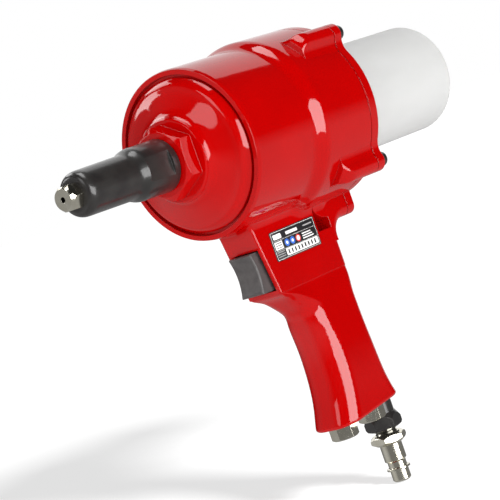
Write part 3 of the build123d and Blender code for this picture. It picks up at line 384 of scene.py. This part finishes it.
# ---------------------------------------------------------------- rating plate
def rating_plate():
    """Foil plate with printed blocks, discs and bars in place of any lettering."""
    low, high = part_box("rating_plate")
    centre_x, centre_z, back_y = (low.x + high.x) / 2, (low.z + high.z) / 2, low.y
    half_l, half_h = (high.x - low.x) / 2, (high.z - low.z) / 2
    materials = [FINISH["plate"], printed("plate_white", (0.80, 0.80, 0.78)),
                 printed("plate_blue", (0.03, 0.12, 0.50)), printed("plate_red", (0.60, 0.03, 0.03)),
                 printed("plate_grey", (0.30, 0.30, 0.30))]
    black, white, blue, red, grey = range(len(materials))
    bm = bmesh.new()

    def rounded(u0, v0, u1, v1, radius):
        """Corner-rounded outline in plate coordinates, u to the right as seen from outside, v up."""
        points = []
        for cu, cv, first in ((u1 - radius, v1 - radius, 0), (u0 + radius, v1 - radius, 90),
                              (u0 + radius, v0 + radius, 180), (u1 - radius, v0 + radius, 270)):
            for step in range(7):
                angle = math.radians(first + 15 * step)
                points.append((cu + radius * math.cos(angle), cv + radius * math.sin(angle)))
        return points

    def slab(points, bottom, top, material):
        """A thin raised patch of one ink, with a small sloping edge."""
        cu = sum(u for u, v in points) / len(points)
        cv = sum(v for u, v in points) / len(points)
        rings = []
        for y, inset in ((bottom, 0.0), (top - 0.01 * MM, 0.0), (top, 0.02 * MM)):
            ring = []
            for u, v in points:
                reach = math.hypot(u - cu, v - cv)
                k = 1 - inset / reach
                across = cu + (u - cu) * k
                ring.append(bm.verts.new((centre_x - across, back_y + y, centre_z + cv + (v - cv) * k)))
            rings.append(ring)
        before = len(bm.faces)
        loft_rings(bm, rings)
        bm.faces.ensure_lookup_table()
        for face in bm.faces[before:]:
            face.material_index = material

    foil, ink = 0.32 * MM, 0.37 * MM
    over = ink + 0.02 * MM      # a second ink printed over the first
    slab(rounded(-half_l, -half_h, half_l, half_h, 1.2 * MM), 0.0, foil, black)

    def patch(u0, v0, u1, v1, material, radius=0.12, top=ink):
        outline = [(u * MM, v * MM) for u, v in rounded(u0, v0, u1, v1, radius)]
        slab(outline, foil - 0.05 * MM, top, material)

    def disc(u, v, radius, material, top=ink):
        patch(u - radius, v - radius, u + radius, v + radius, material, radius * 0.999, top)

    # thin white frame line
    for u0, v0, u1, v1 in ((-19.4, 7.55, 19.4, 7.75), (-19.4, -7.75, 19.4, -7.55),
                           (-19.5, -7.6, -19.3, 7.6), (19.3, -7.6, 19.5, 7.6)):
        patch(u0, v0, u1, v1, white, 0.05)
    # top row: a maker's block, a short bar for the type and a fine bar
    patch(-18.0, 3.6, -10.8, 6.4, white, 0.6)
    patch(-6.5, 4.2, 4.0, 5.9, white, 0.2)
    patch(9.5, 4.9, 17.6, 5.6, grey, 0.2)
    # middle row: small data block, two blue discs, a red-ringed disc and three white bars
    patch(-18.4, -2.2, -11.6, 2.2, white, 0.2)
    for bar in range(3):
        patch(-17.8, 1.1 - 1.3 * bar, -12.4, 1.5 - 1.3 * bar, black, 0.1, over)
    for u in (-7.6, -2.6):
        disc(u, 0.0, 2.1, blue)
        disc(u, 0.0, 0.9, white, over)
    disc(2.6, 0.0, 2.1, red)
    disc(2.6, 0.0, 1.35, white, over)
    for bar in range(3):
        patch(6.6, 1.0 - 1.35 * bar, 14.6 + 0.9 * bar, 1.6 - 1.35 * bar, white, 0.15)
    # white hairlines between the rows
    for v in (2.75, -2.85):
        patch(-18.8, v, 18.8, v + 0.14, white, 0.05)
    # bottom row: caption bars and a long number field
    for bar in range(3):
        patch(-18.4, -3.9 - 1.25 * bar, -11.8, -3.4 - 1.25 * bar, grey, 0.15)
    patch(-10.6, -7.0, 18.6, -3.1, white, 0.3)
    for bar in range(9):
        patch(-9.0 + 3.0 * bar, -6.3, -7.7 + 3.0 * bar, -3.8, black, 0.25, over)
    made = piece("rating_foil", mesh_from(bm, "rating_foil"), "housing", materials, 30)
    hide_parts("rating_plate")


rating_plate()


# ---------------------------------------------------------------- floor
FLOOR_GAP = 1.0 * MM
FLOOR_CENTRE = Vector((-0.15, 0.0, cad_low.z - FLOOR_GAP))
FLOOR_RADII = (0.02, 0.2, 0.4, 0.8, 1.6, 4.0, 16.0)
FLOOR_STEP_DEG = 6


def studio_floor():
    """A broad pale paper floor, white wherever the floor lamp reaches it, so that it has no horizon."""
    bm = bmesh.new()
    rings = []
    for radius in FLOOR_RADII:
        ring = []
        for degrees in range(0, 360, FLOOR_STEP_DEG):
            turn = math.radians(degrees)
            out = Vector((radius * math.cos(turn), radius * math.sin(turn), 0))
            ring.append(bm.verts.new(FLOOR_CENTRE + out))
        rings.append(ring)
    loft_rings(bm, rings, cap_end=False)
    mesh = mesh_from(bm, "studio_floor")
    floor = bpy.data.objects.new("studio_floor", mesh)
    bpy.context.scene.collection.objects.link(floor)
    paper = Finish("floor_paper", (0.36, 0.36, 0.36), 0.9, specular=0.0)
    paper.tint(paper.noise(3.0, 2.0), (0.355, 0.355, 0.355), (0.365, 0.365, 0.365))
    paper.set("Emission Color", (1.0, 1.0, 1.0, 1.0))
    paper.set("Emission Strength", 0.74)
    mesh.materials.append(paper.done())
    floor.visible_glossy = False
    floor.visible_shadow = False
    return floor


floor = studio_floor()


# ---------------------------------------------------------------- camera
# the camera stands ahead of the tool on its left, level with the barrel, and is rolled so that the nose dips
RIGHT = Vector((-0.61063, 0.71962, -0.33058))
UP = Vector((-0.25473, 0.21677, 0.94240))
BACK = Vector((0.74983, 0.65967, 0.05094))
EYE = Vector((0.78398, 0.79760, 0.00166))
SENSOR_MM, LENS_MM = 36.0, 158.4
camera = bpy.data.objects.new("camera", bpy.data.cameras.new("camera"))
bpy.context.scene.collection.objects.link(camera)
camera.matrix_world = Matrix.Translation(EYE) @ Matrix((RIGHT, UP, BACK)).transposed().to_4x4()
camera.data.sensor_width = SENSOR_MM
camera.data.lens = LENS_MM
camera.data.clip_start = 0.05
camera.data.clip_end = 50.0
bpy.context.scene.camera = camera


# ---------------------------------------------------------------- light
TARGET = Vector((-0.14, -0.01, -0.03))      # the point that every soft box faces
LEVEL_RIGHT = Vector((-BACK.y, BACK.x, 0)).normalized()
LEVEL_BACK = Vector((BACK.x, BACK.y, 0)).normalized()


def softbox(name, azimuth, elevation, distance, width, height, radiance):
    """An area light facing TARGET, placed right of and above the camera, and sized, in degrees."""
    light = bpy.data.objects.new(name, bpy.data.lights.new(name, "AREA"))
    light.data.shape = "RECTANGLE"
    light.data.size = 2 * distance * math.tan(math.radians(width / 2))
    light.data.size_y = 2 * distance * math.tan(math.radians(height / 2))
    light.data.energy = radiance * math.pi * light.data.size * light.data.size_y
    bpy.context.scene.collection.objects.link(light)
    turn, rise = math.radians(azimuth), math.radians(elevation)
    away = math.cos(rise) * (math.sin(turn) * RIGHT + math.cos(turn) * BACK) + math.sin(rise) * UP
    side = (UP.cross(away)).normalized()
    light.matrix_world = (Matrix.Translation(TARGET + away * distance)
                          @ Matrix((side, away.cross(side), away)).transposed().to_4x4())
    light.visible_camera = False
    return light


soft_boxes = [softbox(*row) for row in (
    # name, azimuth, elevation, distance, width, height, radiance
    ("right_box", 41, 10, 1.5, 54, 34, 7.0),
    ("left_box", -48, 14, 1.5, 18, 28, 2.6),
    ("overhead_box", -70, 76, 1.3, 40, 26, 5.0),
    ("rear_strip", -120, 33, 1.5, 36, 20, 4.0),
    ("left_panel", -96, 4, 1.5, 16, 12, 6.0),
    ("front_fill", -8, -10, 1.6, 76, 52, 4.0),
    ("backdrop", 180, 30, 1.8, 70, 56, 1.0),
)]
bpy.data.objects["front_fill"].visible_glossy = False

# the soft boxes light the tool and leave the paper to the floor lamp
not_paper = bpy.data.collections.new("lit_by_soft_boxes")
not_paper.objects.link(floor)
not_paper.collection_objects[0].light_linking.link_state = "EXCLUDE"
for light in soft_boxes:
    light.light_linking.receiver_collection = not_paper

# a lamp that lights the floor only, so the tool's soft shadow falls behind it and to the left
LAMP_SPREAD_DEG = 7.0
LAMP_STRENGTH = 9.5
LAMP_DISTANCE = 1.9
towards_lamp = 0.37 * LEVEL_RIGHT + 0.88 * LEVEL_BACK + Vector((0, 0, 0.32))
lamp = bpy.data.objects.new("floor_lamp", bpy.data.lights.new("floor_lamp", "SUN"))
lamp.data.angle = math.radians(LAMP_SPREAD_DEG)
lamp.data.energy = LAMP_STRENGTH
bpy.context.scene.collection.objects.link(lamp)
lamp.location = FLOOR_CENTRE + LAMP_DISTANCE * towards_lamp
lamp.rotation_mode = "QUATERNION"
lamp.rotation_quaternion = towards_lamp.to_track_quat("Z", "Y")
paper_only = bpy.data.collections.new("lit_by_floor_lamp")
paper_only.objects.link(floor)
lamp.light_linking.receiver_collection = paper_only


# ---------------------------------------------------------------- room
world = bpy.data.worlds.new("studio")
bpy.context.scene.world = world
world.use_nodes = True
nodes, links = world.node_tree.nodes, world.node_tree.links
background = nodes["Background"]
background.inputs["Color"].default_value = (1.0, 1.0, 1.0, 1.0)
heading = nodes.new("ShaderNodeTexCoord")


def fade(value, start, end, low, high):
    """The room's strength as a value runs from start to end."""
    made = nodes.new("ShaderNodeMapRange")
    for socket, number in (("From Min", start), ("From Max", end), ("To Min", low), ("To Max", high)):
        made.inputs[socket].default_value = number
    links.new(value, made.inputs["Value"])
    return made.outputs["Result"]


# the room is pale below the tool and dark above it
split = nodes.new("ShaderNodeSeparateXYZ")
links.new(heading.outputs["Generated"], split.inputs["Vector"])
upright = fade(split.outputs["Z"], -0.25, -0.05, 0.34, 0.02)
# it is also pale on the tool's left, where few soft boxes stand
leftward = nodes.new("ShaderNodeVectorMath")
leftward.operation = "DOT_PRODUCT"
leftward.inputs[1].default_value = LEVEL_RIGHT
links.new(heading.outputs["Generated"], leftward.inputs[0])
left_wall = fade(leftward.outputs["Value"], -1.0, -0.7, 0.3, 0.0)
total = nodes.new("ShaderNodeMath")
total.operation = "ADD"
links.new(upright, total.inputs[0])
links.new(left_wall, total.inputs[1])
# the camera itself sees plain white
light_path = nodes.new("ShaderNodeLightPath")
strength = nodes.new("ShaderNodeMapRange")
strength.inputs["To Max"].default_value = 1.0
links.new(light_path.outputs["Is Camera Ray"], strength.inputs["Value"])
links.new(total.outputs["Value"], strength.inputs["To Min"])
links.new(strength.outputs["Result"], background.inputs["Strength"])
bpy.context.scene.view_settings.view_transform = "Standard"
